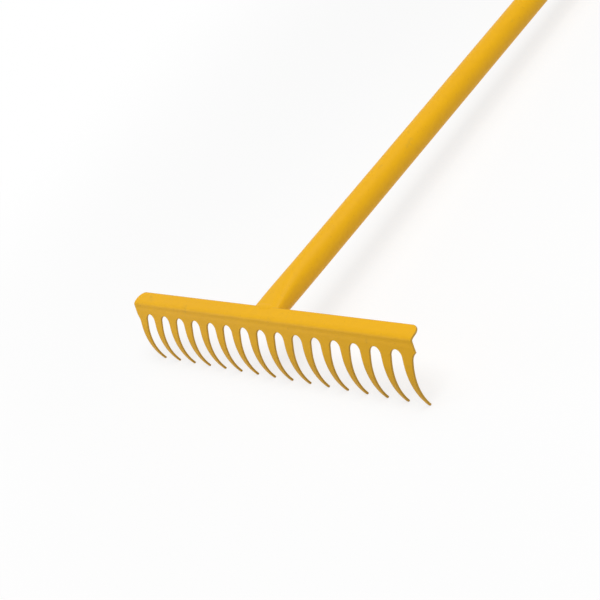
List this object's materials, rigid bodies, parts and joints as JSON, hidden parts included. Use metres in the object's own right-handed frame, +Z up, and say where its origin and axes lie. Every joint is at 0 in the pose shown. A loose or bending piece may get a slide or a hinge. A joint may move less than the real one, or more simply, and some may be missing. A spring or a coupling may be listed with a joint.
{
  "type": "steel rake",
  "caption": "Painted steel hand rake: a pressed sheet head with a row of tapered, backward-curving teeth, welded to a long straight tubular handle.",
  "frame": {"origin": "on the floor that the tooth tips and the handle's far end lie on, below the middle of the part's box", "axes": "+X along the head; +Y from the head along the handle; +Z up, away from the floor"},
  "size_m": [0.4291, 1.5274, 0.073],
  "materials": {
    "head_paint": "satin yellow powder coat on pressed steel sheet",
    "handle_paint": "satin yellow powder coat on steel tube",
    "weld_paint": "satin yellow powder coat over a dressed weld",
    "plug_plastic": "matt black moulded plastic"
  },
  "bodies": {
    "root": {"rake_head": "head_paint", "handle_tube": "handle_paint", "top_weld": "weld_paint", "left_weld": "weld_paint", "right_weld": "weld_paint", "handle_end_plug": "plug_plastic"}
  },
  "joints": []
}
